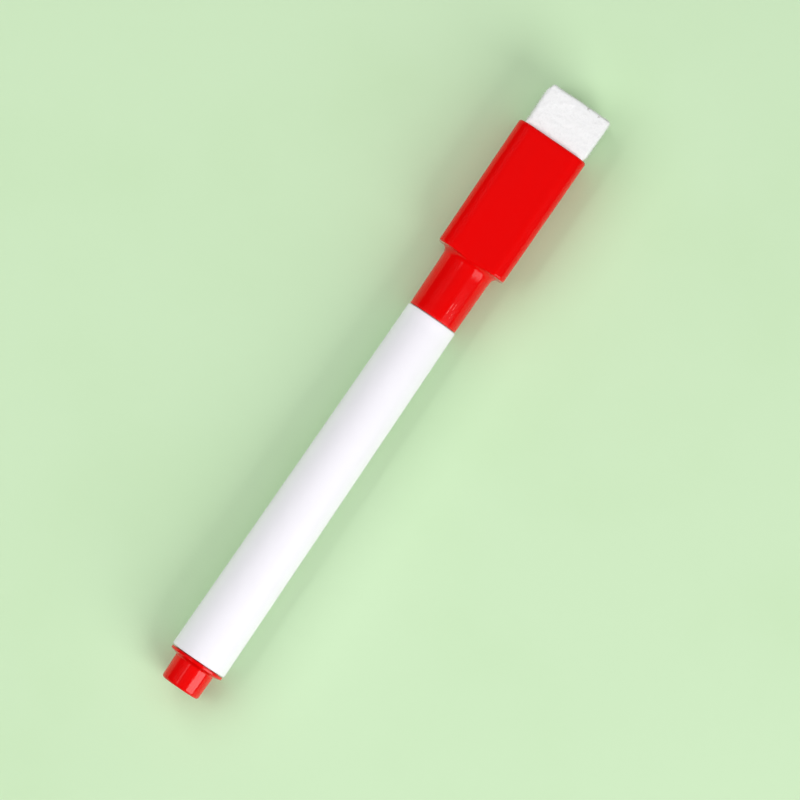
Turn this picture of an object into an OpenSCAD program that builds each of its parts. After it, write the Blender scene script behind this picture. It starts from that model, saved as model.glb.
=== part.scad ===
// Small whiteboard marker with an eraser on its cap, lying on the flat of the cap's sleeve.
// +X runs from the tail plug to the eraser, +Z is up, and z = 0 is the surface it lies on.
// The origin is below the middle of the pen's length and width.

/* [Barrel] */
// Length of the barrel from its tail edge to the shoulder under the cap
barrel_l = 67.3; // [60:0.1:75]
// Outer diameter at the tail edge
barrel_tail_d = 10.1; // [9.8:0.1:10.6]
// Outer diameter at the shoulder
barrel_front_d = 9.1; // [8.8:0.1:9.6]
// Wall thickness at the tail edge
barrel_wall = 1; // [0.8:0.05:1.2]
// Diameter of the neck that carries the cap
neck_d = 7.2; // [6.8:0.1:7.4]
// Length of the neck
neck_l = 10.5; // [9:0.5:11]

/* [Tail plug] */
// Diameter of the stub that the cap is pushed onto while the pen writes
stub_d = 7.1; // [6.4:0.1:7.2]
// Length of the stub
stub_l = 4.45; // [3:0.05:6]
// Diameter of the flange that closes the barrel
flange_d = 9.8; // [9.2:0.1:10]
// Thickness of the flange
flange_t = 0.85; // [0.7:0.05:1.2]
// Length of the spigot inside the barrel
spigot_l = 5.6; // [4:0.2:6]

/* [Cap] */
// Length of the cap from its mouth to the sleeve's rim
cap_l = 34.65; // [33.6:0.05:36]
// Outer diameter at the mouth
mouth_d = 8.8; // [8.6:0.1:9.2]
// Outer diameter where the round part meets the sleeve
cap_neck_d = 9; // [8.8:0.1:9.6]
// Length of the sleeve that holds the eraser
sleeve_l = 23.45; // [23:0.05:24]
// Width of the sleeve at its lower end
sleeve_low_w = 12.6; // [12.4:0.05:13]
// Width of the sleeve at its rim
sleeve_rim_w = 12.95; // [12.9:0.05:13.4]
// Thickness of the sleeve between its two flats
sleeve_t = 10.1; // [10:0.05:10.6]
// Radius of the sleeve's four long edges
sleeve_edge_r = 2.7; // [2:0.1:3.2]
// Depth of the pocket for the eraser
pocket_depth = 10.95; // [10:0.05:11.2]

/* [Eraser] */
// Width of the felt block
felt_w = 11.2; // [10:0.1:11.2]
// Thickness of the felt block
felt_t = 8.2; // [7.4:0.1:8.3]
// Length of felt that stands out of the sleeve
felt_out = 7.55; // [4:0.05:10]

/* [Nib and ink] */
// Diameter of the nib
nib_d = 3; // [2.4:0.1:3.2]
// Length of nib that stands out of its holder
nib_out = 4; // [3:0.1:4.4]
// Overall length of the nib rod
nib_l = 33; // [30:0.5:38]
// Diameter of the fibre ink core
core_d = 7.2; // [6.4:0.1:7.2]
// Length of the ink core
core_l = 57.5; // [40:0.5:57.5]

/* [Hidden] */
$fn = 96;
cut = 0.2;          // how far a cutting shape runs past the face that it opens
slip = 0.05;        // radial clearance of parts that slide on each other
seat = 0.02;        // radial clearance of parts that are pushed together for good
face_gap = 0.1;     // line of shadow between two edges that meet on the outside
edge = 0.3;         // small bevel that stands for a rounded edge
graze = 0.005;      // how far a rounding stands past the flats it joins, so that they cross

// Places along the pen, measured from the tail end
flange_s = stub_l;
barrel_s = flange_s + flange_t + face_gap;
shoulder_s = barrel_s + barrel_l;
neck_end_s = shoulder_s + neck_l;
mouth_s = shoulder_s + face_gap;
rim_s = mouth_s + cap_l;
sleeve_s = rim_s - sleeve_l;
pocket_s = rim_s - pocket_depth;
pen_l = rim_s + felt_out;
axis_h = max(sleeve_t, barrel_tail_d) / 2;

// Barrel bore
bore_tail_d = barrel_tail_d - 2 * barrel_wall;
bore_front_d = core_d + 0.5;
bore_end_s = shoulder_s - 1.8;
neck_wall = 0.9;
neck_bore_d = neck_d - 2 * neck_wall;

// Tail plug
plug_wall = 1;
plug_core_d = stub_d - 2 * plug_wall;
spigot_end_s = barrel_s + spigot_l;

// Ink core and its film
wrap_t = 0.15;
core_front_s = bore_end_s - 0.9;
core_s = core_front_s - core_l;

// Nib holder
holder_spigot_l = 8.5;
collar_d = neck_d - 0.8;
collar_t = 1.2;
land_d = 5.5;
land_l = 3;
nose_d = 4.1;
nose_l = 2;
land_s = neck_end_s + collar_t;
nose_s = land_s + land_l;
nose_end_s = nose_s + nose_l;

// Nib
nib_tip_s = nose_end_s + nib_out;
nib_s = nib_tip_s - nib_l;
nib_bullet_l = 2.6;
nib_tip_d = 1.2;

// Inside of the cap
cap_bore_d = neck_d + 2 * slip;
seal_s = land_s + 0.6;
seal_d = cap_bore_d - 0.5;
seal_seat_d = seal_d + 2 * seat;
pocket_web = 1.2;
seal_end_s = pocket_s - pocket_web;
seal_mouth_l = 3.4;
seal_funnel_l = 1;
seal_bore_d = 4.6;
seal_end_wall = 0.5;
fillet_l = 1;
fillet_d = sleeve_t - edge;

// Pocket and core-outs in the sleeve
pocket_rim_w = sleeve_rim_w - 1.3;
pocket_floor_w = sleeve_rim_w - 1.65;
pocket_t = sleeve_t - 1.7;
pocket_edge_r = 1.4;
core_out_w = 0.9;
core_out_t = 4;
core_out_floor = 1.6;
core_out_y = 4.6;

// Eraser
glue_t = 0.4;
glue_w = felt_w - 2;
felt_edge_r = 1.3;
felt_s = pocket_s + glue_t;

// Turns a shape that was built upwards from z = 0 into its place along the pen
module on_axis()
  translate([-pen_l / 2, 0, axis_h]) rotate([0, 90, 0]) children();

module at(s)
  translate([0, 0, s]) children();

// What is outside one rounded long edge: sx picks the flat and sy the side
module edge_cutter(l, r, sx, sy)
  translate([0, 0, -1])
    difference() {
      translate([sx > 0 ? 0 : -r - 1, sy > 0 ? 0 : -r - 1, 0]) cube([r + 1, r + 1, l + 2]);
      cylinder(r = r + graze, h = l + 2);
    }

// Block l long, w0 wide at its foot and w1 wide at its top, t thick, with rounded long edges
module drafted_block(l, w0, w1, t, r) {
  lean = atan((w1 - w0) / 2 / l);
  difference() {
    rotate([0, -90, 0])
      linear_extrude(height = t, center = true)
        polygon([[0, -w0 / 2], [l, -w1 / 2], [l, w1 / 2], [0, w0 / 2]]);
    for (sx = [-1, 1], sy = [-1, 1])
      translate([sx * (t / 2 - r), sy * w0 / 2, 0])
        rotate([-sy * lean, 0, 0])
          translate([0, -sy * r, 0])
            edge_cutter(l, r, sx, sy);
  }
}

// Tapered tube with a shoulder and a thinner neck at the front
module barrel() {
  color("white") on_axis() difference() {
    union() {
      at(barrel_s) cylinder(d = barrel_tail_d, h = edge);
      at(barrel_s + edge) cylinder(d1 = barrel_tail_d, d2 = barrel_front_d, h = barrel_l - edge);
      at(shoulder_s - 1) cylinder(d = neck_d, h = neck_l + 1 - edge);
      at(neck_end_s - edge) cylinder(d1 = neck_d, d2 = neck_d - edge, h = edge);
    }
    at(barrel_s - cut) cylinder(d = bore_tail_d, h = cut + spigot_l + 1);
    at(barrel_s + spigot_l) cylinder(d1 = bore_tail_d, d2 = bore_front_d, h = bore_end_s - spigot_end_s);
    at(bore_end_s - cut) cylinder(d = neck_bore_d, h = neck_end_s - bore_end_s + 2 * cut);
  }
}

// Stub, flange and spigot in one piece, hollow from the inside
module tail_plug() {
  color("red") on_axis() difference() {
    union() {
      cylinder(d1 = stub_d - 2 * edge, d2 = stub_d, h = edge);
      at(edge) cylinder(d = stub_d, h = stub_l);
      at(flange_s) cylinder(d1 = flange_d - 2 * edge, d2 = flange_d, h = edge);
      at(flange_s + edge) cylinder(d = flange_d, h = flange_t - edge);
      at(flange_s + edge) cylinder(d = bore_tail_d - 2 * seat, h = spigot_end_s - flange_s - 2 * edge);
      at(spigot_end_s - edge)
        cylinder(d1 = bore_tail_d - 2 * seat, d2 = bore_tail_d - 2 * seat - edge, h = edge);
    }
    at(plug_wall) cylinder(d = plug_core_d, h = spigot_end_s - plug_wall + cut);
  }
}

// Rod of bonded fibre that holds the ink, with the hole that the nib pushes into it
module ink_core() {
  color("firebrick") on_axis() difference() {
    at(core_s) cylinder(d = core_d, h = core_l);
    at(nib_s) cylinder(d = nib_d + 2 * seat, h = core_front_s - nib_s + cut);
  }
}

// Thin film tube around the ink core
module core_wrap() {
  color("gainsboro") on_axis() difference() {
    at(core_s) cylinder(d = core_d + 2 * seat + 2 * wrap_t, h = core_l);
    at(core_s - cut) cylinder(d = core_d + 2 * seat, h = core_l + 2 * cut);
  }
}

// Nozzle pushed into the neck: spigot, collar, sealing land and nose around the nib
module nib_holder() {
  color("whitesmoke") on_axis() difference() {
    union() {
      at(neck_end_s - holder_spigot_l) cylinder(d = neck_bore_d - 2 * seat, h = holder_spigot_l + edge);
      at(neck_end_s) cylinder(d = collar_d, h = collar_t);
      at(land_s - edge) cylinder(d = land_d, h = land_l + edge);
      at(nose_s) cylinder(d1 = land_d, d2 = nose_d, h = nose_l);
    }
    at(neck_end_s - holder_spigot_l - cut)
      cylinder(d = nib_d + 2 * seat, h = nose_end_s - neck_end_s + holder_spigot_l + 2 * cut);
  }
}

// Fibre rod with a bullet point
module nib() {
  color("crimson") on_axis() {
    at(nib_s) cylinder(d = nib_d, h = nib_l - nib_bullet_l);
    at(nib_tip_s - nib_bullet_l) cylinder(d1 = nib_d, d2 = nib_tip_d, h = nib_bullet_l - nib_tip_d / 2);
    at(nib_tip_s - nib_tip_d / 2) sphere(d = nib_tip_d);
  }
}

// Round cap with a flat-sided sleeve in one piece: outside, less bores, pocket and core-outs
module cap_shell() {
  color("red") on_axis() difference() {
    union() {
      at(mouth_s) cylinder(d1 = mouth_d, d2 = cap_neck_d, h = sleeve_s - mouth_s);
      at(sleeve_s - fillet_l) cylinder(d1 = cap_neck_d, d2 = fillet_d, h = fillet_l + edge);
      at(sleeve_s) drafted_block(sleeve_l, sleeve_low_w, sleeve_rim_w, sleeve_t, sleeve_edge_r);
    }
    at(mouth_s - cut) cylinder(d = cap_bore_d, h = seal_s - mouth_s + cut);
    at(seal_s - cut) cylinder(d = seal_seat_d, h = seal_end_s - seal_s + cut);
    at(pocket_s)
      drafted_block(pocket_depth + cut, pocket_floor_w, pocket_rim_w, pocket_t, pocket_edge_r);
    for (side = [-1, 1])
      translate([-core_out_t / 2, side * (core_out_y + core_out_w / 2) - core_out_w / 2,
                 sleeve_s + core_out_floor])
        cube([core_out_t, core_out_w, pocket_s - sleeve_s - core_out_floor + cut]);
  }
}

// Soft cup inside the cap that closes round the nib holder's land
module cap_inner_seal() {
  color("ivory") on_axis() difference() {
    at(seal_s) cylinder(d = seal_d, h = seal_end_s - seal_s);
    at(seal_s - cut) cylinder(d = land_d + 2 * slip, h = cut + seal_mouth_l);
    at(seal_s + seal_mouth_l) cylinder(d1 = land_d + 2 * slip, d2 = seal_bore_d, h = seal_funnel_l);
    at(seal_s + seal_mouth_l)
      cylinder(d = seal_bore_d, h = seal_end_s - seal_s - seal_mouth_l - seal_end_wall);
  }
}

// Pad of glue on the floor of the pocket
module felt_glue() {
  color("khaki") on_axis() at(pocket_s)
    drafted_block(glue_t, glue_w, glue_w, felt_t - 2, felt_edge_r);
}

// Block of pressed felt, glued into the pocket and standing out of the rim
module eraser_felt() {
  color("white") on_axis() at(felt_s)
    drafted_block(pen_l - felt_s, felt_w, felt_w, felt_t, felt_edge_r);
}

barrel();
tail_plug();
ink_core();
core_wrap();
nib_holder();
nib();
cap_shell();
cap_inner_seal();
felt_glue();
eraser_felt();
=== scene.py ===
# Small whiteboard marker with an eraser on its cap, lying on the flat of the cap's sleeve.
# Lengths are in metres, in the CAD frame: +X from the tail plug to the eraser, +Z up.
import math

import bmesh
import bpy
from mathutils import Matrix, Vector, noise


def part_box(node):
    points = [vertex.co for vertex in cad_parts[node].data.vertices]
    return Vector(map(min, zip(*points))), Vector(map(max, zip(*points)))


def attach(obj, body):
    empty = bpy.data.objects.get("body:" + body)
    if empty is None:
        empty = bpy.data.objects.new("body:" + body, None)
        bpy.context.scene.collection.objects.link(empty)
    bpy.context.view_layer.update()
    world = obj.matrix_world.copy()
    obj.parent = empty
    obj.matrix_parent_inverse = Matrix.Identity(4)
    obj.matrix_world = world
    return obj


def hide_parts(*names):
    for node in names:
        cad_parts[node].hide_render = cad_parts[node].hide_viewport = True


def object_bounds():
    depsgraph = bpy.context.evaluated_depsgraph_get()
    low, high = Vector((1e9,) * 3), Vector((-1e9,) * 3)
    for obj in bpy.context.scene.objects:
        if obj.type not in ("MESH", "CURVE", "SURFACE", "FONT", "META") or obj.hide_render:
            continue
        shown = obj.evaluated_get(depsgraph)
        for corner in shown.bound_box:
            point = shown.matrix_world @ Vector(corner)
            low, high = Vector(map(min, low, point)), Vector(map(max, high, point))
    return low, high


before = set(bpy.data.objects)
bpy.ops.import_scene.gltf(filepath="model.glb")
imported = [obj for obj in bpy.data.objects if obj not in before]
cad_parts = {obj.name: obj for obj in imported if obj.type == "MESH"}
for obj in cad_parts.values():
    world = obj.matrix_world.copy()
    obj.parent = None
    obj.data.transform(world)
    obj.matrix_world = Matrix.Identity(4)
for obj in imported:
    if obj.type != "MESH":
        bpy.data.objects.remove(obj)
cad_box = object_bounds()

# The camera is about a metre above the pen, a little towards its tail, with a long lens. It is
# rolled so that the pen runs from the lower left of the picture to the upper right.
MM = 0.001
TAIL_X = cad_box[0].x
AXIS_Z = (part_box("cap_shell")[0].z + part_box("cap_shell")[1].z) / 2
CAMERA_HEIGHT = 1083 * MM
CAMERA_SIDE = -3.19 * MM
CAMERA_FROM_TAIL = 33.5 * MM
TARGET_FROM_TAIL = 58.8 * MM
CAMERA_ROLL = math.radians(55.65)
SENSOR_WIDTH = 36.0
LENS_LENGTH = 300.0
NEAREST_SEEN = 0.01
FARTHEST_SEEN = 20

eye = Vector((TAIL_X + CAMERA_FROM_TAIL, CAMERA_SIDE, AXIS_Z + CAMERA_HEIGHT))
target = Vector((TAIL_X + TARGET_FROM_TAIL, CAMERA_SIDE, AXIS_Z))
ahead = (target - eye).normalized()
across = ahead.cross(Vector((math.sin(CAMERA_ROLL), math.cos(CAMERA_ROLL), 0))).normalized()
above = across.cross(ahead)
camera = bpy.data.objects.new("camera", bpy.data.cameras.new("camera"))
camera.data.sensor_width = SENSOR_WIDTH
camera.data.lens = LENS_LENGTH
camera.data.clip_start = NEAREST_SEEN
camera.data.clip_end = FARTHEST_SEEN
facing = Matrix((across, above, -ahead)).transposed().to_4x4()
camera.matrix_world = Matrix.Translation(eye) @ facing
bpy.context.scene.collection.objects.link(camera)
bpy.context.scene.camera = camera
bpy.context.scene.view_settings.view_transform = "Standard"


# The floor is a wide sheet of pale green paper with a faint cloudiness and a fine tooth.
# The small class here writes every node tree in this file.
class Wire:
    """One output in a node tree. Arithmetic on it adds Math nodes to the tree."""

    def __init__(self, tree, socket=None):
        self.tree = tree
        self.socket = socket

    def node(self, kind, settings=None, values=None, out=0):
        """Adds a node: its settings, then the values or links of its sockets; gives one output."""
        made = self.tree.nodes.new(kind)
        for key, value in (settings or {}).items():
            setattr(made, key, value)
        for key, value in (values or {}).items():
            if isinstance(value, Wire):
                self.tree.links.new(value.socket, made.inputs[key])
            else:
                made.inputs[key].default_value = value
        return Wire(self.tree, made.outputs[out])

    def also(self, out):
        """Another output of the same node."""
        return Wire(self.tree, self.socket.node.outputs[out])

    def math(self, operation, *values):
        return self.node("ShaderNodeMath", {"operation": operation}, dict(enumerate(values)))

    def __add__(self, other):
        return self.math("ADD", self, other)

    def __sub__(self, other):
        return self.math("SUBTRACT", self, other)

    def __rsub__(self, other):
        return self.math("SUBTRACT", other, self)

    def __mul__(self, other):
        return self.math("MULTIPLY", self, other)

    def __truediv__(self, other):
        return self.math("DIVIDE", self, other)

    __radd__ = __add__
    __rmul__ = __mul__

    def clamped(self, low, high):
        """0 up to low, 1 from high on, and a smooth rise between them."""
        return self.node(
            "ShaderNodeMapRange",
            {"interpolation_type": "SMOOTHSTEP"},
            {"Value": self, "From Min": low, "From Max": high},
        )

    def noise(self, scale, detail=3.0, stretch=(1, 1, 1)):
        """Noise on the object's own coordinates, scale cells a metre, stretched along the axes."""
        spot = self.node("ShaderNodeTexCoord", out="Object")
        spot = self.node("ShaderNodeMapping", None, {"Vector": spot, "Scale": stretch})
        values = {"Vector": spot, "Scale": scale, "Detail": detail}
        return self.node("ShaderNodeTexNoise", None, values)

    def mixed(self, colour, other, share):
        """colour where share is 0 and other where it is 1."""
        values = {0: share, 6: colour, 7: other}
        return self.node("ShaderNodeMix", {"data_type": "RGBA"}, values, 2)

    def bump(self, height, distance, strength=1.0, over=None):
        values = {"Height": height, "Distance": distance, "Strength": strength}
        if over:
            values["Normal"] = over
        return self.node("ShaderNodeBump", None, values)


def new_material(name, **sockets):
    """A material, the wire that adds nodes to it, and a function that feeds its shader."""
    made = bpy.data.materials.new(name)
    made.use_nodes = True
    shader = made.node_tree.nodes["Principled BSDF"]
    for socket, value in sockets.items():
        shader.inputs[socket.replace("_", " ")].default_value = value

    def feed(socket, wire):
        made.node_tree.links.new(wire.socket, shader.inputs[socket])

    return made, Wire(made.node_tree), feed


def rgb(red, green, blue):
    return (red, green, blue, 1.0)


FLOOR_HALF = 2.0
PAPER = rgb(0.577, 0.762, 0.504)
PAPER_DEEP = rgb(0.558, 0.747, 0.480)
PAPER_CLOUDS = 26
PAPER_TOOTH = 2600
PAPER_TOOTH_H = 0.05 * MM

paper, wire, feed = new_material("pale paper", Roughness=0.9, Specular_IOR_Level=0.1)
clouds = wire.noise(PAPER_CLOUDS).clamped(0.4, 0.75)
feed("Base Color", wire.mixed(PAPER, PAPER_DEEP, clouds))
feed("Normal", wire.bump(wire.noise(PAPER_TOOTH, 2), PAPER_TOOTH_H, 0.2))
bpy.ops.mesh.primitive_plane_add(size=2 * FLOOR_HALF)
floor = bpy.context.object
floor.name = "floor"
floor.data.materials.append(paper)

# The studio has a soft box low on the pen's -Y side, towards its tail, and a narrow strip high on
# its +Y side. A panel overhead and a reflector on the +Y side only fill, and add no glint.
SOFT_BOX_SIZE = (0.60, 0.66)
SOFT_BOX_PLACE = (-0.282, -0.678, 0.424)
SOFT_BOX_RADIANCE = 4.75
SOFT_BOX_COLOUR = (1, 0.995, 0.985)
STRIP_SIZE = (0.60, 0.07)
STRIP_PLACE = (-0.300, 0.429, 0.903)
STRIP_RADIANCE = 2.2
PANEL_SIZE = (2.4, 2.4)
PANEL_PLACE = (0.3, -0.2, 1.8)
PANEL_RADIANCE = 0.83
REFLECTOR_SIZE = (1.2, 0.6)
REFLECTOR_PLACE = (0.0, 0.643, 0.766)
REFLECTOR_RADIANCE = 2.55
ROOM = 0.08


def area_light(name, size, place, radiance, colour=(1, 1, 1), glint=True):
    """A rectangular light of an even radiance, its first size along X, tipped to face the pen."""
    made = bpy.data.lights.new(name, "AREA")
    made.shape = "RECTANGLE"
    made.size, made.size_y = size
    made.energy = radiance * math.pi * size[0] * size[1]
    made.color = colour
    light = bpy.data.objects.new(name, made)
    light.location = place
    light.rotation_euler = (-math.atan2(place[1], place[2]), 0, 0)
    light.visible_glossy = glint
    bpy.context.scene.collection.objects.link(light)


area_light("soft box", SOFT_BOX_SIZE, SOFT_BOX_PLACE, SOFT_BOX_RADIANCE, SOFT_BOX_COLOUR)
area_light("strip", STRIP_SIZE, STRIP_PLACE, STRIP_RADIANCE)
area_light("panel", PANEL_SIZE, PANEL_PLACE, PANEL_RADIANCE, glint=False)
area_light("reflector", REFLECTOR_SIZE, REFLECTOR_PLACE, REFLECTOR_RADIANCE, glint=False)
room = bpy.data.worlds.new("room")
room.use_nodes = True
room.node_tree.nodes["Background"].inputs["Color"].default_value = rgb(ROOM, ROOM, ROOM)
bpy.context.scene.world = room

# The barrel is one long tapered moulding of glossy white polypropylene, open at the tail, with a
# shoulder and a thinner neck that the cap slides over. It is turned from one outline.
STEPS_ROUND = 128
ARC_STEPS = 6
ARC_LEAD = 1.4
SHARP_ANGLE = 40
SAME_PLACE = 1e-6


def outline(corners):
    """Points of a line through corners (x, radius, rounding), with each rounding an arc.

    A point on each straight, ARC_LEAD times the arc's reach from the corner, keeps the shading
    of the straight even.
    """
    points = []
    last = len(corners) - 1
    for i, (x, radius, rounding) in enumerate(corners):
        here = Vector((x, radius))
        if not rounding:
            points.append(here)
            continue
        before = (Vector(corners[i - 1][:2]) - here).normalized()
        after = (Vector(corners[0 if i == last else i + 1][:2]) - here).normalized()
        half = before.angle(after) / 2
        centre = here + (before + after).normalized() * rounding / math.sin(half)
        reach = rounding / math.tan(half)
        spoke = here + before * reach - centre
        turn = math.pi - 2 * half
        way = 1 if before.cross(after) < 0 else -1
        points.append(here + before * reach * ARC_LEAD)
        for step in range(ARC_STEPS + 1):
            points.append(centre + Matrix.Rotation(way * turn * step / ARC_STEPS, 2) @ spoke)
        points.append(here + after * reach * ARC_LEAD)
    return points


def new_tree(name, inputs, output):
    """A tree of geometry nodes: the wire that adds nodes to it, and a wire for each input."""
    tree = bpy.data.node_groups.new(name, "GeometryNodeTree")
    tree.is_modifier = True
    for label, kind in inputs.items():
        tree.interface.new_socket(label, in_out="INPUT", socket_type="NodeSocket" + kind)
    tree.interface.new_socket(output, in_out="OUTPUT", socket_type="NodeSocketGeometry")
    given = tree.nodes.new("NodeGroupInput")
    return Wire(tree), [Wire(tree, given.outputs[label]) for label in inputs]


def end_tree(g, shape, finish):
    """Makes the shape's instances real, gives it its material and sends it out of the tree."""
    real = g.node("GeometryNodeRealizeInstances", None, {"Geometry": shape})
    done = g.node("GeometryNodeSetMaterial", None, {"Geometry": real, "Material": finish})
    g.tree.links.new(done.socket, g.tree.nodes.new("NodeGroupOutput").inputs[0])
    return g.tree


def turning_tree():
    """Geometry nodes that turn an outline in the XZ plane about the pen's axis."""
    inputs = {
        "Outline": "Geometry",
        "Steps round": "Int",
        "Axis height": "Float",
        "Finish": "Material",
    }
    g, (line, steps, height, finish) = new_tree("turn an outline", inputs, "Piece")
    count = g.node("GeometryNodeAttributeDomainSize", None, {"Geometry": line}, "Point Count")
    columns = steps + 1
    sizes = {"Size X": 1.0, "Size Y": 1.0, "Vertices X": count, "Vertices Y": columns}
    grid = g.node("GeometryNodeMeshGrid", None, sizes)
    index = g.node("GeometryNodeInputIndex")
    row = g.math("FLOOR", (index + 0.5) / columns)
    column = index - row * columns
    values = {"Geometry": line, "Value": g.node("GeometryNodeInputPosition"), "Index": row}
    spot = g.node("GeometryNodeSampleIndex", {"data_type": "FLOAT_VECTOR"}, values)
    split = g.node("ShaderNodeSeparateXYZ", None, {0: spot})
    radius = split.also("Z")
    angle = column * (2 * math.pi) / steps
    y = radius * g.math("SINE", angle)
    z = radius * g.math("COSINE", angle) + height
    place = g.node("ShaderNodeCombineXYZ", None, {"X": split, "Y": y, "Z": z})
    turned_grid = g.node("GeometryNodeSetPosition", None, {"Geometry": grid, "Position": place})
    values = {"Geometry": turned_grid, "Distance": SAME_PLACE}
    joined = g.node("GeometryNodeMergeByDistance", None, values)
    return end_tree(g, joined, finish)


def finished(name, mesh, sharp=SHARP_ANGLE):
    """An object of its own for a mesh: doubles merged, faces outward, smooth but for its edges.

    An edge whose faces meet at more than sharp degrees stays crisp.
    """
    shape = bmesh.new()
    shape.from_mesh(mesh)
    bmesh.ops.remove_doubles(shape, verts=shape.verts, dist=SAME_PLACE)
    bmesh.ops.dissolve_degenerate(shape, edges=shape.edges, dist=SAME_PLACE / 10)
    bmesh.ops.recalc_face_normals(shape, faces=shape.faces)
    shape.to_mesh(mesh)
    shape.free()
    mesh.shade_smooth()
    mesh.set_sharp_from_angle(angle=math.radians(sharp))
    made = bpy.data.objects.new(name, mesh)
    bpy.context.scene.collection.objects.link(made)
    return made


def grown(source, tree, inputs):
    """The plain mesh that a tree of geometry nodes makes of a source mesh."""
    draft = bpy.data.objects.new("draft", source)
    bpy.context.scene.collection.objects.link(draft)
    modifier = draft.modifiers.new("nodes", "NODES")
    modifier.node_group = tree
    for socket in tree.interface.items_tree:
        if socket.name in inputs:
            modifier[socket.identifier] = inputs[socket.name]
    graph = bpy.context.evaluated_depsgraph_get()
    mesh = bpy.data.meshes.new_from_object(draft.evaluated_get(graph))
    bpy.data.objects.remove(draft)
    return mesh


TURNING = turning_tree()


def turned(name, points, finish, steps_round=STEPS_ROUND):
    """A piece turned about the pen's axis from an outline of (x, radius) points."""
    line = bpy.data.meshes.new(name)
    edges = [(i, i + 1) for i in range(len(points) - 1)]
    line.from_pydata([(x, 0, radius) for x, radius in points], edges, [])
    inputs = {"Steps round": steps_round, "Axis height": AXIS_Z, "Finish": finish}
    return finished(name, grown(line, TURNING, inputs))


def closed(points):
    return points + points[:1]


# The scales of patterns are in cells a metre here and below.
FLOW_LINES = 900
FLOW_STRETCH = (0.12, 1, 1)
FLOW_H = 0.01 * MM
CLOUDS = 110
CLOUD_STRETCH = (0.4, 1, 1)
HAIRLINES = 5200
HAIRLINE_STRETCH = (0.06, 1, 1)
PEEL = 1500
PEEL_H = 0.01 * MM
GLOSS_CHANGE = 0.06
HAIRLINE_DULL = 0.04
WORN_DULL = 0.25


def moulded_plastic(name, colour, deep, gloss, worn=None, **sockets):
    """Moulded plastic: slow changes of colour, flow lines along the pen, and a faint orange peel.

    gloss is the surface's roughness. worn is a colour for rubbed places and a function that gives
    where they are, from 0 to 1.
    """
    material, wire, feed = new_material(name, **sockets)
    flow = wire.noise(FLOW_LINES, 4, FLOW_STRETCH)
    cloud = wire.noise(CLOUDS, 2, CLOUD_STRETCH)
    shade = wire.mixed(colour, deep, cloud.clamped(0.35, 0.7) * 0.7 + flow * 0.3)
    hairlines = wire.noise(HAIRLINES, 2, HAIRLINE_STRETCH).clamped(0.62, 0.78)
    rough = gloss + (cloud - 0.5) * GLOSS_CHANGE + (flow - 0.5) * GLOSS_CHANGE
    rough = rough + hairlines * HAIRLINE_DULL
    if worn:
        rubbed = worn[1](wire)
        shade = wire.mixed(shade, worn[0], rubbed)
        rough = rough + rubbed * WORN_DULL
    feed("Base Color", shade)
    feed("Roughness", rough)
    peel = wire.bump(wire.noise(PEEL, 2), PEEL_H, 0.25)
    feed("Normal", wire.bump(flow, FLOW_H, 0.12, peel))
    return material


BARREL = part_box("barrel")
BARREL_TAIL_X = BARREL[0].x
NECK_END_X = BARREL[1].x
CAP_GAP = 0.1 * MM
SHOULDER_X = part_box("cap_shell")[0].x - CAP_GAP
TAIL_R = (BARREL[1].z - BARREL[0].z) / 2
SHOULDER_R = 4.55 * MM
NECK_R = 3.6 * MM
NECK_BORE_R = 2.7 * MM
BARREL_WALL = 1.0 * MM
BORE_TAIL_R = TAIL_R - BARREL_WALL
BORE_FRONT_R = 3.85 * MM
BORE_END_X = SHOULDER_X - 1.8 * MM
GROOVE_X = SHOULDER_X + 2.2 * MM
GROOVE_W = 0.5 * MM
GROOVE_DEPTH = 0.12 * MM
BARREL_WHITE = rgb(0.935, 0.91, 0.985)
BARREL_WHITE_DEEP = rgb(0.915, 0.89, 0.965)

white_plastic = moulded_plastic(
    "white barrel plastic",
    BARREL_WHITE,
    BARREL_WHITE_DEEP,
    gloss=0.18,
    Specular_IOR_Level=0.1,
    Subsurface_Weight=0.3,
    Subsurface_Radius=(1, 1, 1),
    Subsurface_Scale=2.5 * MM,
)
barrel = turned(
    "white_barrel",
    closed(
        outline(
            [
                (BARREL_TAIL_X, BORE_TAIL_R, 0.15 * MM),
                (BARREL_TAIL_X, TAIL_R, 0.28 * MM),
                (SHOULDER_X, SHOULDER_R, 0.22 * MM),
                (SHOULDER_X, NECK_R, 0.12 * MM),
                (GROOVE_X, NECK_R, 0),
                (GROOVE_X + GROOVE_DEPTH, NECK_R - GROOVE_DEPTH, 0),
                (GROOVE_X + GROOVE_W, NECK_R - GROOVE_DEPTH, 0),
                (GROOVE_X + GROOVE_W + GROOVE_DEPTH, NECK_R, 0),
                (NECK_END_X, NECK_R, 0.3 * MM),
                (NECK_END_X, NECK_BORE_R, 0.08 * MM),
                (BORE_END_X, NECK_BORE_R, 0),
                (BORE_END_X, BORE_FRONT_R, 0),
            ]
        )
    ),
    white_plastic,
)
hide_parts("barrel")
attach(barrel, "pen")

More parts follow.
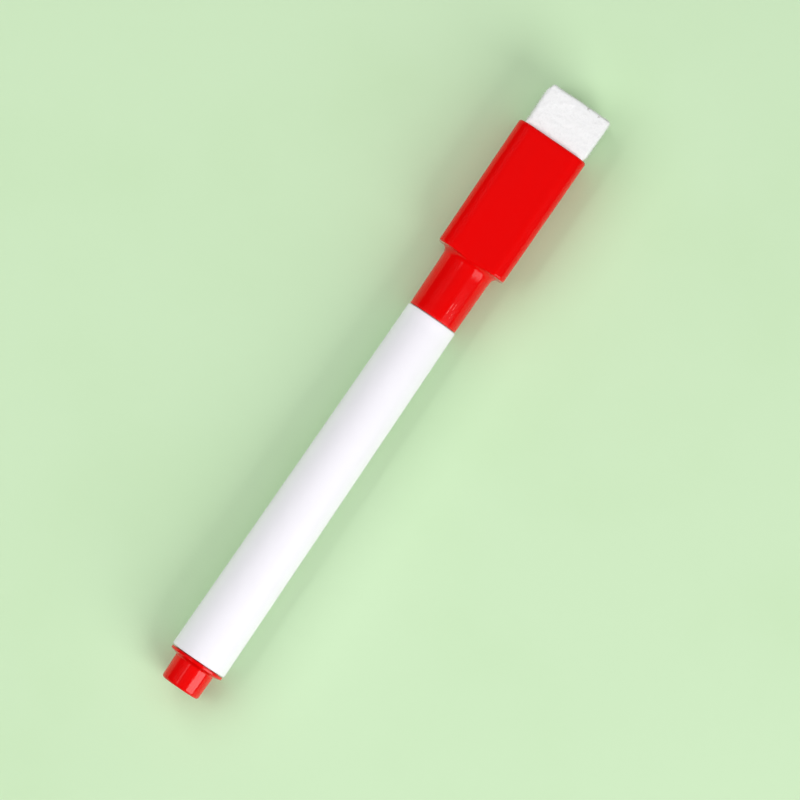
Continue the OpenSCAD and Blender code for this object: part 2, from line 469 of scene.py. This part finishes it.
# The tail plug is one glossy red moulding pushed into the barrel: a stub with a rounded end, a
# flange whose tail side slopes down to the stub, and a hollow spigot inside the barrel.
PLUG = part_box("tail_plug")
FLANGE_R = (PLUG[1].z - PLUG[0].z) / 2
FLANGE_GAP = 0.14 * MM
FLANGE_SLOPE = 0.42 * MM
STUB_L = 4.38 * MM
FLANGE_FRONT_X = BARREL_TAIL_X - FLANGE_GAP
FLANGE_BACK_X = PLUG[0].x + STUB_L
FLANGE_RIM_X = FLANGE_BACK_X + FLANGE_SLOPE
STUB_END_R = 3.5 * MM
STUB_R = 3.6 * MM
PRESS_GAP = 0.02 * MM
SPIGOT_R = BORE_TAIL_R - PRESS_GAP
PLUG_BORE_R = 2.55 * MM
PLUG_FLOOR_X = PLUG[0].x + 1.0 * MM
PLUG_RED = rgb(0.80, 0.0005, 0.0005)
PLUG_RED_DEEP = rgb(0.77, 0.0005, 0.0005)

red_plastic = moulded_plastic(
    "red plug plastic",
    PLUG_RED,
    PLUG_RED_DEEP,
    gloss=0.12,
    Specular_IOR_Level=0.32,
)
plug = turned(
    "red_tail_plug",
    outline(
        [
            (PLUG[0].x, 0, 0),
            (PLUG[0].x, STUB_END_R, 0.5 * MM),
            (FLANGE_BACK_X, STUB_R, 0.25 * MM),
            (FLANGE_RIM_X, FLANGE_R, 0.12 * MM),
            (FLANGE_FRONT_X, FLANGE_R, 0.12 * MM),
            (FLANGE_FRONT_X, SPIGOT_R, 0),
            (PLUG[1].x, SPIGOT_R, 0.2 * MM),
            (PLUG[1].x, PLUG_BORE_R, 0.2 * MM),
            (PLUG_FLOOR_X, PLUG_BORE_R, 0.3 * MM),
            (PLUG_FLOOR_X, 0, 0),
        ]
    ),
    red_plastic,
)
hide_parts("tail_plug")
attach(plug, "pen")

# The nib is a rod of bonded fibre, soaked with red ink from the core and ground to a bullet
# point at the front. It is pressed into the nozzle.
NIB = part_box("nib")
NIB_R = (NIB[1].z - NIB[0].z) / 2
BULLET_STEPS = 14
BULLET_L = 2.6 * MM
BULLET_POWER = 1.7
NIB_STEPS_ROUND = 64
NIB_STRANDS = 9000
NIB_STRAND_STRETCH = (0.05, 1, 1)
NIB_INK = rgb(0.62, 0.02, 0.02)
NIB_INK_DEEP = rgb(0.30, 0.004, 0.006)

nib_fibre, wire, feed = new_material("inked nib fibre", Roughness=0.75, Specular_IOR_Level=0.3)
strands = wire.noise(NIB_STRANDS, 3, NIB_STRAND_STRETCH)
feed("Base Color", wire.mixed(NIB_INK_DEEP, NIB_INK, strands.clamped(0.35, 0.7)))
feed("Normal", wire.bump(strands, 0.03 * MM, 0.5))
bullet = []
for step in range(BULLET_STEPS + 1):
    share = step / BULLET_STEPS
    x = NIB[1].x - BULLET_L * (1 - share) ** BULLET_POWER
    bullet.append(Vector((x, NIB_R * math.sqrt(1 - share**2))))
rod = outline(
    [
        (NIB[0].x, 0, 0),
        (NIB[0].x, NIB_R, 0.2 * MM),
        (NIB[1].x - BULLET_L * 1.1, NIB_R, 0),
    ]
)
nib = turned("bullet_nib", rod + bullet, nib_fibre, NIB_STEPS_ROUND)
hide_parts("nib")
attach(nib, "pen")

# The nib holder is a white moulded nozzle pushed into the barrel's neck. Its collar has four air
# slots, its land carries the cap's seal, and its nose grips the nib.
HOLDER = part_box("nib_holder")
HOLDER_STEPS = 96
COLLAR_R = (HOLDER[1].z - HOLDER[0].z) / 2
COLLAR_L = 1.2 * MM
LAND_L = 3.0 * MM
LAND_X = NECK_END_X + COLLAR_L
LAND_R = 2.75 * MM
NOSE_X = LAND_X + LAND_L
NOSE_R = 2.05 * MM
HOLDER_BORE_R = NIB_R + PRESS_GAP
HOLDER_PLUG_R = NECK_BORE_R - PRESS_GAP
AIR_SLOTS = 4
AIR_SLOT_DEPTH = 0.3 * MM
AIR_SLOT_SHARE = 0.16
NOZZLE_WHITE = rgb(0.84, 0.84, 0.82)
NOZZLE_WHITE_DEEP = rgb(0.80, 0.80, 0.78)


def skin(name, rings, finish):
    """One closed mesh over rings of equal numbers of points; a ring of one point is a pole."""
    points = []
    starts = []
    for ring in rings:
        starts.append(len(points))
        points += ring
    faces = []
    for i in range(len(rings) - 1):
        here, there = len(rings[i]), len(rings[i + 1])
        for k in range(max(here, there)):
            a = starts[i] + k % here
            b = starts[i] + (k + 1) % here
            c = starts[i + 1] + (k + 1) % there
            d = starts[i + 1] + k % there
            faces.append(list(dict.fromkeys((a, b, c, d))))
    mesh = bpy.data.meshes.new(name)
    mesh.from_pydata(points, [], faces)
    mesh.materials.append(finish)
    return finished(name, mesh)


def holder_ring(x, radius, slotted):
    """A ring of the nozzle, drawn in at the air slots where it is slotted."""
    ring = []
    for step in range(HOLDER_STEPS):
        share = step / HOLDER_STEPS
        off_slot = abs((share * AIR_SLOTS) % 1 - 0.5) * 2
        depth = AIR_SLOT_DEPTH if slotted and off_slot > 1 - AIR_SLOT_SHARE else 0
        angle = 2 * math.pi * share
        r = radius - depth
        ring.append((x, r * math.sin(angle), AXIS_Z + r * math.cos(angle)))
    return ring


holder_plastic = moulded_plastic(
    "white nozzle plastic",
    NOZZLE_WHITE,
    NOZZLE_WHITE_DEEP,
    gloss=0.36,
    Specular_IOR_Level=0.4,
)
holder_line = outline(
    [
        (HOLDER[0].x, HOLDER_BORE_R, 0),
        (HOLDER[0].x, HOLDER_PLUG_R, 0.15 * MM),
        (NECK_END_X, HOLDER_PLUG_R, 0),
        (NECK_END_X, COLLAR_R, 0.15 * MM),
        (LAND_X, COLLAR_R, 0.2 * MM),
        (LAND_X, LAND_R, 0.1 * MM),
        (NOSE_X, LAND_R, 0.4 * MM),
        (HOLDER[1].x, NOSE_R, 0.15 * MM),
        (HOLDER[1].x, HOLDER_BORE_R, 0),
    ]
)
holder_rings = []
for x, radius in holder_line + holder_line[:1]:
    in_collar = NECK_END_X < x < NOSE_X and radius > LAND_R - 0.05 * MM
    holder_rings.append(holder_ring(x, radius, in_collar))
holder = skin("nib_nozzle", holder_rings, holder_plastic)
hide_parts("nib_holder")
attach(holder, "pen")

# The ink core is a rod of bonded fibre in a thin film tube. Both are hidden in the barrel, so
# their CAD solids stay, with the fibre's strands along the pen and the film's cloudiness.
CORE_STRANDS = 6000
CORE_STRAND_STRETCH = (0.04, 1, 1)
CORE_INK = rgb(0.50, 0.02, 0.02)
CORE_INK_DEEP = rgb(0.24, 0.004, 0.006)
FILM = rgb(0.78, 0.74, 0.74)
FILM_DEEP = rgb(0.70, 0.60, 0.60)

core_fibre, wire, feed = new_material("inked core fibre", Roughness=0.85, Specular_IOR_Level=0.2)
strands = wire.noise(CORE_STRANDS, 3, CORE_STRAND_STRETCH)
feed("Base Color", wire.mixed(CORE_INK_DEEP, CORE_INK, strands.clamped(0.3, 0.7)))
feed("Normal", wire.bump(strands, 0.05 * MM, 0.6))
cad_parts["ink_core"].data.materials.clear()
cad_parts["ink_core"].data.materials.append(core_fibre)
wrap_film = moulded_plastic(
    "cloudy film", FILM, FILM_DEEP, gloss=0.22, Specular_IOR_Level=0.5
)
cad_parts["core_wrap"].data.materials.clear()
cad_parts["core_wrap"].data.materials.append(wrap_film)

# The cap is one glossy red moulding. A round skirt slides over the barrel's neck, a small fillet
# joins it to a sleeve with flat faces and rounded long edges, and the sleeve's rim is rounded
# over into the pocket that holds the eraser.
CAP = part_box("cap_shell")
RIM_X = CAP[1].x
SLEEVE_L = 23.62 * MM
SLEEVE_X = RIM_X - SLEEVE_L
SLEEVE_LOW_HALF = 6.3 * MM
SLEEVE_RIM_HALF = (CAP[1].y - CAP[0].y) / 2
SLEEVE_HALF_T = (CAP[1].z - CAP[0].z) / 2
SLEEVE_EDGE_R = 2.7 * MM
MOUTH_R = 4.4 * MM
SKIRT_TOP_R = 4.5 * MM
SKIRT_BORE_R = NECK_R + 0.05 * MM
SEAT_R = 3.42 * MM
SEAT_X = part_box("cap_inner_seal")[0].x
SEAT_END_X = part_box("cap_inner_seal")[1].x
FILLET_R = 1.2 * MM
FILLET_STEPS = 14
FLARE_L = 2.7 * MM
FLARE_RISE = 0.05 * MM
FLARE_STEPS = 8
STEP_EDGE_R = 0.34 * MM
RIM_EDGE_R = 0.42 * MM
POCKET_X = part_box("felt_glue")[0].x
POCKET_RIM_HALF = SLEEVE_RIM_HALF - 0.65 * MM
POCKET_FLOOR_HALF = SLEEVE_RIM_HALF - 0.825 * MM
POCKET_HALF_T = SLEEVE_HALF_T - 0.85 * MM
POCKET_EDGE_R = 1.4 * MM
POCKET_LIP = 0.12 * MM
FLAT_SOFTNESS = 0.10 * MM
SLEEVE_RINGS = 14
EDGE_STEPS = 6
FLAT_COLUMNS = 28
SIDE_COLUMNS = 16
EDGE_COLUMNS = 10
FLAT_HALF = SLEEVE_LOW_HALF - SLEEVE_EDGE_R
SIDE_HALF = SLEEVE_HALF_T - SLEEVE_EDGE_R


def quarter_columns():
    """(stretch, share) of every point of a quarter of a ring, from the top flat to the side."""
    flat = [("flat", 2 * k / FLAT_COLUMNS) for k in range(FLAT_COLUMNS // 2)]
    edge = [("edge", k / EDGE_COLUMNS) for k in range(EDGE_COLUMNS)]
    side = [("side", 1 - 2 * k / SIDE_COLUMNS) for k in range(SIDE_COLUMNS // 2 + 1)]
    return flat + edge + side


def ring_of(quarter_point):
    """The whole ring made from the quarter y >= 0, z >= 0 by reflection, in order round the pen."""
    quarter = [quarter_point(*column) for column in quarter_columns()]
    half = quarter + [(y, -z) for y, z in reversed(quarter[:-1])]
    return half + [(-y, z) for y, z in reversed(half[1:-1])]


def round_ring(x, radius, flat_z=None):
    """A circle with the sleeve's columns; where flat_z is given it is cut off at that height."""
    reach = max(radius, SKIRT_TOP_R)
    flat_end = math.asin(FLAT_HALF / reach)
    side_end = math.acos(SIDE_HALF / reach)

    def point(stretch, share):
        if stretch == "flat":
            angle = math.asin(share * math.sin(flat_end))
        elif stretch == "edge":
            angle = flat_end + share * (side_end - flat_end)
        else:
            angle = math.acos(share * math.cos(side_end))
        y, z = radius * math.sin(angle), radius * math.cos(angle)
        if flat_z is not None:
            over = z - flat_z
            z = flat_z + (over - math.hypot(over, FLAT_SOFTNESS)) / 2
        return y, z

    return [(x, y, AXIS_Z + z) for y, z in ring_of(point)]


def block_ring(x, half_w, half_t, edge_r):
    """A rectangle with rounded corners, with the same columns."""

    def point(stretch, share):
        if stretch == "flat":
            return share * (half_w - edge_r), half_t
        if stretch == "edge":
            turn = share * math.pi / 2
            y = half_w - edge_r + edge_r * math.sin(turn)
            return y, half_t - edge_r + edge_r * math.cos(turn)
        return half_w, share * (half_t - edge_r)

    return [(x, y, AXIS_Z + z) for y, z in ring_of(point)]


def sleeve_half(x):
    """Half of the sleeve's width at x; it narrows towards the mouth so that it leaves the mould."""
    widening = SLEEVE_RIM_HALF - SLEEVE_LOW_HALF
    return SLEEVE_LOW_HALF + widening * (x - SLEEVE_X) / (RIM_X - SLEEVE_X)


def sleeve_arc(x, half_w, radius, first, last, way):
    """Rings of a rounded end of the sleeve: the turn goes from first to last, as quarter turns."""
    rings = []
    for step in range(EDGE_STEPS + 1):
        turn = (first + (last - first) * step / EDGE_STEPS) * math.pi / 2
        inset = radius * (1 - math.cos(turn))
        along = x + way * radius * math.sin(turn)
        rings.append(
            block_ring(along, half_w - inset, SLEEVE_HALF_T - inset, SLEEVE_EDGE_R - inset)
        )
    return rings


def even(first, last, count):
    return [first + (last - first) * k / (count - 1) for k in range(count)]


def not_below(ring, under):
    """The ring, its flats nowhere nearer the axis than those of the ring it stands on."""
    kept = []
    for (x, y, z), low in zip(ring, under):
        if abs(y - low[1]) < SAME_PLACE / 10:
            height = max(abs(z - AXIS_Z), abs(low[2] - AXIS_Z))
            z = AXIS_Z + math.copysign(height, z - AXIS_Z)
        kept.append((x, y, z))
    return kept


cap_rings = [[(SEAT_END_X, 0, AXIS_Z)]]
bore_line = outline(
    [
        (SEAT_END_X, 0, 0),
        (SEAT_END_X, SEAT_R, 0.1 * MM),
        (SEAT_X, SEAT_R, 0),
        (SEAT_X, SKIRT_BORE_R, 0),
        (CAP[0].x, SKIRT_BORE_R + PRESS_GAP, 0.2 * MM),
        (CAP[0].x, MOUTH_R, 0.16 * MM),
        (SLEEVE_X - FLARE_L, SKIRT_TOP_R, 0),
    ]
)
cap_rings += [round_ring(x, radius) for x, radius in bore_line[1:]]
for step in range(1, FLARE_STEPS):
    share = step / FLARE_STEPS
    x = SLEEVE_X - FLARE_L + (FLARE_L - FILLET_R) * share
    cap_rings.append(round_ring(x, SKIRT_TOP_R + FLARE_RISE * share**2, SLEEVE_HALF_T))
for step in range(FILLET_STEPS + 1):
    turn = math.pi / 2 * step / FILLET_STEPS
    x = SLEEVE_X - FILLET_R * (1 - math.sin(turn))
    radius = SKIRT_TOP_R + FLARE_RISE + FILLET_R * (1 - math.cos(turn))
    cap_rings.append(round_ring(x, radius, SLEEVE_HALF_T))
step_ring = cap_rings[-1]
step_edge = sleeve_arc(
    SLEEVE_X + STEP_EDGE_R, sleeve_half(SLEEVE_X), STEP_EDGE_R, first=1, last=0, way=-1
)
cap_rings += [not_below(ring, step_ring) for ring in step_edge]
sleeve_ends = (SLEEVE_X + STEP_EDGE_R * 1.5, RIM_X - RIM_EDGE_R * 1.5)
for x in even(*sleeve_ends, SLEEVE_RINGS):
    cap_rings.append(block_ring(x, sleeve_half(x), SLEEVE_HALF_T, SLEEVE_EDGE_R))
cap_rings += sleeve_arc(RIM_X - RIM_EDGE_R, SLEEVE_RIM_HALF, RIM_EDGE_R, first=0, last=1, way=1)
for down, out, corner_r in (
    (0, POCKET_LIP, POCKET_EDGE_R + POCKET_LIP),
    (POCKET_LIP / 3, POCKET_LIP / 3, POCKET_EDGE_R),
    (POCKET_LIP, 0, POCKET_EDGE_R),
):
    cap_rings.append(
        block_ring(RIM_X - down, POCKET_RIM_HALF + out, POCKET_HALF_T + out, corner_r)
    )
cap_rings.append(block_ring(POCKET_X, POCKET_FLOOR_HALF, POCKET_HALF_T, POCKET_EDGE_R))
cap_rings.append([(POCKET_X, 0, AXIS_Z)])
# Each scratch runs from one distance from the mouth to another, between two values of Y.
SCRATCHES = (
    (1.6 * MM, 3.7 * MM, -1.58 * MM, -1.50 * MM),
    (2.6 * MM, 3.9 * MM, -2.06 * MM, -2.00 * MM),
    (1.2 * MM, 2.2 * MM, -2.34 * MM, -2.28 * MM),
    (3.4 * MM, 3.5 * MM, -3.40 * MM, -2.60 * MM),
)
SCRATCH_EDGE = 0.05 * MM
SCRATCH_SHARE = 0.38
NIBBLE_FROM = 0.05 * MM
NIBBLE_TO = 0.35 * MM
NIBBLE_SHARE = 0.12
CAP_RED = rgb(0.776, 0.0005, 0.0005)
CAP_RED_DEEP = rgb(0.747, 0.0005, 0.0005)
RUBBED_RED = rgb(0.95, 0.22, 0.20)


def cap_wear(wire):
    """Where the cap is rubbed pale: a few scratches by the mouth, and the mouth's own edge."""
    spot = wire.node("ShaderNodeTexCoord", out="Object")
    x = wire.node("ShaderNodeSeparateXYZ", None, {0: spot})
    y, z = x.also("Y"), x.also("Z")
    mouth = CAP[0].x
    broken = wire.noise(1900, 2).clamped(0.28, 0.55)
    scratched = 0
    for from_x, to_x, low_y, high_y in SCRATCHES:
        begun = x.clamped(mouth + from_x, mouth + from_x + 4 * SCRATCH_EDGE)
        ended = x.clamped(mouth + to_x - 2 * SCRATCH_EDGE, mouth + to_x)
        inside = y.clamped(low_y - SCRATCH_EDGE, low_y)
        past = y.clamped(high_y, high_y + SCRATCH_EDGE)
        scratched = scratched + (begun - ended) * (inside - past)
    scratched = scratched * broken * z.clamped(AXIS_Z, AXIS_Z + MM) * SCRATCH_SHARE
    nibbled = 1 - x.clamped(mouth + NIBBLE_FROM, mouth + NIBBLE_TO)
    return scratched + nibbled * broken * NIBBLE_SHARE


cap_plastic = moulded_plastic(
    "red cap plastic",
    CAP_RED,
    CAP_RED_DEEP,
    gloss=0.12,
    worn=(RUBBED_RED, cap_wear),
    Specular_IOR_Level=0.2,
)
cap = skin("red_cap", cap_rings, cap_plastic)
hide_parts("cap_shell")
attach(cap, "cap")

# The inner seal is a soft, milky cup pressed into the end of the cap's bore. Its thin lip closes
# round the nozzle's land so that the nib does not dry.
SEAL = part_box("cap_inner_seal")
SEAL_R = (SEAL[1].z - SEAL[0].z) / 2
SEAL_LIP_R = LAND_R + 0.05 * MM
SEAL_BORE_R = 2.3 * MM
SEAL_LIP_L = 3.4 * MM
SEAL_FUNNEL_L = 1.0 * MM
SEAL_FUNNEL_X = SEAL[0].x + SEAL_LIP_L
SEAL_FLOOR_X = SEAL[1].x - 0.5 * MM
SEAL_STEPS_ROUND = 96
SEAL_MILK = rgb(0.80, 0.79, 0.74)
SEAL_MILK_DEEP = rgb(0.75, 0.74, 0.69)

seal_plastic = moulded_plastic(
    "milky seal plastic", SEAL_MILK, SEAL_MILK_DEEP, gloss=0.42, Subsurface_Weight=0.1
)
seal = turned(
    "inner_seal_cup",
    outline(
        [
            (SEAL[1].x, 0, 0),
            (SEAL[1].x, SEAL_R, 0.3 * MM),
            (SEAL[0].x, SEAL_R, 0.12 * MM),
            (SEAL[0].x, SEAL_LIP_R, 0.12 * MM),
            (SEAL_FUNNEL_X, SEAL_LIP_R, 0),
            (SEAL_FUNNEL_X + SEAL_FUNNEL_L, SEAL_BORE_R, 0),
            (SEAL_FLOOR_X, SEAL_BORE_R, 0.3 * MM),
            (SEAL_FLOOR_X, 0, 0),
        ]
    ),
    seal_plastic,
    SEAL_STEPS_ROUND,
)
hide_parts("cap_inner_seal")
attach(seal, "cap")

# The glue is a set, yellowish pad between the pocket's floor and the felt. It is never seen, so
# its CAD solid stays.
GLUE = rgb(0.66, 0.58, 0.36)
GLUE_DEEP = rgb(0.56, 0.48, 0.28)

glue = moulded_plastic("set glue", GLUE, GLUE_DEEP, gloss=0.45)
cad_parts["felt_glue"].data.materials.clear()
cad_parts["felt_glue"].data.materials.append(glue)

# The eraser is a block cut from thick white pressed felt and glued into the pocket. The pocket
# squeezes it, so it swells where it leaves the rim, and its cut edges are a little ragged.
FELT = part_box("eraser_felt")
FELT_HALF_W = (FELT[1].y - FELT[0].y) / 2
FELT_HALF_T = (FELT[1].z - FELT[0].z) / 2
FELT_EDGE_R = 0.5 * MM
FELT_GRID = 0.16 * MM
FELT_SHIFT = -0.24 * MM
FELT_SWELL = 0.06 * MM
FELT_FLARE = 0.07 * MM
FELT_REACH = 0.14 * MM
CUT_ALONG = 1.3 * MM
CUT_ACROSS = 0.5 * MM
LUMPS = ((2.6 * MM, 0.10 * MM), (0.7 * MM, 0.06 * MM), (0.25 * MM, 0.03 * MM))
LUMP_RAISE = 0.05
ROUGH_FROM_X = RIM_X - 0.3 * MM
ROUGH_FULL_X = RIM_X + 1.0 * MM
FELT_SEED = 7
ALL_SMOOTH = 180
# Dark specks near the end edge, painted shade where shade falls between the fibres: X from the end,
# Y, height over the axis, and radius.
SHADE_SPECKS = (
    (-0.20 * MM, -1.8 * MM, 3.9 * MM, 0.34 * MM),
    (-0.40 * MM, -2.2 * MM, 4.05 * MM, 0.13 * MM),
    (-0.28 * MM, -3.9 * MM, 4.0 * MM, 0.24 * MM),
    (-0.30 * MM, -4.7 * MM, 4.0 * MM, 0.14 * MM),
)
SHADE_SPECK_RAGGED = 0.3 * MM
DIRT_AND_SHADE_SHARE = 0.5
MATTING = 3000
MATTING_H = 0.12 * MM
TUFTS = 700
TUFT_H = 0.2 * MM
FELT_WHITE = rgb(0.875, 0.875, 0.88)
FELT_WHITE_DEEP = rgb(0.78, 0.78, 0.79)
# Dark colour of the random dirt specks and of the painted shade specks at the end edge.
DIRT_AND_SHADE_SPECK = rgb(0.30, 0.29, 0.22)

felt_fabric, wire, feed = new_material(
    "white pressed felt",
    Roughness=1.0,
    Specular_IOR_Level=0.15,
    Sheen_Weight=0.25,
    Sheen_Roughness=0.6,
)
matted = wire.noise(MATTING, 5)
tufts = wire.noise(TUFTS, 3)
# Small random specks of dirt over the felt; at the listed places by the end edge, dark specks of
# painted shade between the fibres.
dirt_and_shade_specks = wire.noise(1700, 1).clamped(0.79, 0.81) * 0.5
for from_end, y, z, size in SHADE_SPECKS:
    spot = (FELT[1].x + from_end, y, AXIS_Z + z)
    values = {0: wire.node("ShaderNodeTexCoord", out="Object"), 1: spot}
    gap = wire.node("ShaderNodeVectorMath", {"operation": "DISTANCE"}, values, "Value")
    gap = gap + (wire.noise(4000, 2) - 0.5) * SHADE_SPECK_RAGGED
    dirt_and_shade_specks = dirt_and_shade_specks + 1 - gap.clamped(size * 0.6, size * 1.1)
matting = matted.clamped(0.45, 0.75) * 0.55
# The dark colour mixed in here is partly dirt and partly painted shade.
dirt_and_shade = wire.math("MINIMUM", dirt_and_shade_specks, 1.0) * DIRT_AND_SHADE_SHARE
felt_colour = wire.mixed(FELT_WHITE, FELT_WHITE_DEEP, matting)
feed("Base Color", wire.mixed(felt_colour, DIRT_AND_SHADE_SPECK, dirt_and_shade))
feed("Normal", wire.bump(matted, MATTING_H, 0.7, wire.bump(tufts, TUFT_H, 0.5)))


def ramp(value, low, high):
    return max(0.0, min(1.0, (value - low) / (high - low)))


def felt_point(u, v, w):
    """A point of the block's surface, from its place in a box of half sizes 1.

    Its edges are rounded. Outside the sleeve it spreads and sits a little towards -Y, its corner
    on the +Y side is cut off, and lumps of three sizes lift its faces.
    """
    middle = (FELT[0].x + FELT[1].x) / 2
    half = Vector(((FELT[1].x - FELT[0].x) / 2, FELT_HALF_W, FELT_HALF_T))
    flat = Vector((u * half.x, v * half.y, w * half.z))
    core = Vector([max(-h + FELT_EDGE_R, min(h - FELT_EDGE_R, p)) for p, h in zip(flat, half)])
    out = (flat - core).normalized()
    spot = core + out * FELT_EDGE_R + Vector((middle, 0, AXIS_Z))
    free = ramp(spot.x, RIM_X, FELT[1].x)
    spot.x += FELT_REACH * free
    rough = ramp(spot.x, ROUGH_FROM_X, ROUGH_FULL_X)
    spot.y = spot.y * (1 + FELT_SWELL / FELT_HALF_W * rough) + FELT_SHIFT * (0.3 + 0.7 * rough)
    if spot.y < 0:
        spot.y *= 1 + FELT_FLARE / FELT_HALF_W * free
    spot.z += (spot.z - AXIS_Z) * FELT_SWELL / FELT_HALF_T * rough
    cut = Vector((CUT_ACROSS, CUT_ALONG)).normalized()
    side_y = FELT_HALF_W + FELT_SWELL + FELT_SHIFT
    edge = Vector((FELT[1].x + FELT_REACH, side_y - CUT_ACROSS))
    over = max(0.0, cut.dot(Vector((spot.x, spot.y)) - edge))
    spot -= Vector((cut.x * over, cut.y * over, 0))
    for size, height in LUMPS:
        lump = noise.noise(spot / size + Vector((FELT_SEED, 0, 0)))
        spot += out * (lump + LUMP_RAISE) * height * rough
    return spot


def felt_mesh(name):
    """The six faces of the block as fine grids, moved onto its real surface."""
    shape = bmesh.new()
    counts = [max(4, round((FELT[1][k] - FELT[0][k]) / FELT_GRID)) for k in range(3)]
    for axis in range(3):
        i, j = (axis + 1) % 3, (axis + 2) % 3
        for side in (-1, 1):
            rows = []
            for a in range(counts[i] + 1):
                row = []
                for b in range(counts[j] + 1):
                    place = [0, 0, 0]
                    place[axis] = side
                    place[i] = 2 * a / counts[i] - 1
                    place[j] = 2 * b / counts[j] - 1
                    row.append(shape.verts.new(place))
                rows.append(row)
            for here, there in zip(rows, rows[1:]):
                for b in range(counts[j]):
                    shape.faces.new((here[b], there[b], there[b + 1], here[b + 1]))
    bmesh.ops.remove_doubles(shape, verts=shape.verts, dist=10 * SAME_PLACE)
    for vertex in shape.verts:
        vertex.co = felt_point(*vertex.co)
    mesh = bpy.data.meshes.new(name)
    shape.to_mesh(mesh)
    shape.free()
    return mesh


felt_surface = felt_mesh("felt_block")
felt_surface.materials.append(felt_fabric)
felt = finished("felt_block", felt_surface, ALL_SMOOTH)
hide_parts("eraser_felt")
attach(felt, "cap")

# Loose fibres of the felt stand off its cut faces outside the sleeve. They are short and bent,
# and each leans its own way, so the block has a soft outline instead of a crisp one.
FUZZ_FROM_X = RIM_X + 0.6 * MM
FUZZ_DENSITY = 9.0e6
FUZZ_L = 0.36 * MM
FUZZ_R = 0.011 * MM
FUZZ_SHORTEST = 0.35
FUZZ_LEAN = 1.25
FUZZ_SEED = 11
FUZZ_WHITE = rgb(0.95, 0.95, 0.955)
FUZZ_WHITE_DEEP = rgb(0.86, 0.86, 0.87)


def fuzz_tree():
    """Geometry nodes that scatter bent fibres over the part of a surface past a given X."""
    inputs = {
        "Surface": "Geometry",
        "From X": "Float",
        "Density": "Float",
        "Fibre length": "Float",
        "Fibre radius": "Float",
        "Seed": "Int",
        "Finish": "Material",
    }
    g, given = new_tree("scatter fibres", inputs, "Fibres")
    surface, from_x, density, length, radius, seed, finish = given
    place = g.node("GeometryNodeInputPosition")
    outside = g.math("GREATER_THAN", g.node("ShaderNodeSeparateXYZ", None, {0: place}), from_x)
    values = {"Mesh": surface, "Selection": outside, "Density": density, "Seed": seed}
    points = g.node("GeometryNodeDistributePointsOnFaces", None, values)
    upright = points.also("Rotation")
    bend = g.node("ShaderNodeCombineXYZ", None, {"X": length * 0.1, "Z": length * 0.6})
    tip = g.node("ShaderNodeCombineXYZ", None, {"X": length * 0.5, "Z": length})
    values = {"Resolution": 4, "Start": (0, 0, 0), "Middle": bend, "End": tip}
    strand = g.node("GeometryNodeCurveQuadraticBezier", None, values)
    section = g.node("GeometryNodeCurvePrimitiveCircle", None, {"Resolution": 3, "Radius": radius})
    values = {"Curve": strand, "Profile Curve": section}
    fibre = g.node("GeometryNodeCurveToMesh", None, values)
    lean = {
        0: (-FUZZ_LEAN, -FUZZ_LEAN, -math.pi),
        1: (FUZZ_LEAN, FUZZ_LEAN, math.pi),
        "Seed": seed,
    }
    turn = g.node("FunctionNodeRandomValue", {"data_type": "FLOAT_VECTOR"}, lean)
    values = {0: upright, 1: turn}
    laid = g.node("FunctionNodeRotateRotation", {"rotation_space": "LOCAL"}, values)
    values = {2: FUZZ_SHORTEST, 3: 1.0, "Seed": seed}
    sizes = g.node("FunctionNodeRandomValue", {"data_type": "FLOAT"}, values, 1)
    values = {"Points": points, "Instance": fibre, "Rotation": laid, "Scale": sizes}
    scattered = g.node("GeometryNodeInstanceOnPoints", None, values)
    return end_tree(g, scattered, finish)


fibre_white, wire, feed = new_material("loose felt fibre", Roughness=0.8, Specular_IOR_Level=0.2)
feed("Base Color", wire.mixed(FUZZ_WHITE, FUZZ_WHITE_DEEP, wire.noise(2500, 2)))
feed("Normal", wire.bump(wire.noise(30000, 1), 0.002 * MM, 0.3))
fuzz_inputs = {
    "From X": FUZZ_FROM_X,
    "Density": FUZZ_DENSITY,
    "Fibre length": FUZZ_L,
    "Fibre radius": FUZZ_R,
    "Seed": FUZZ_SEED,
    "Finish": fibre_white,
}
fuzz_mesh = grown(felt.data.copy(), fuzz_tree(), fuzz_inputs)
fuzz = finished("felt_fibres", fuzz_mesh, ALL_SMOOTH)
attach(fuzz, "cap")
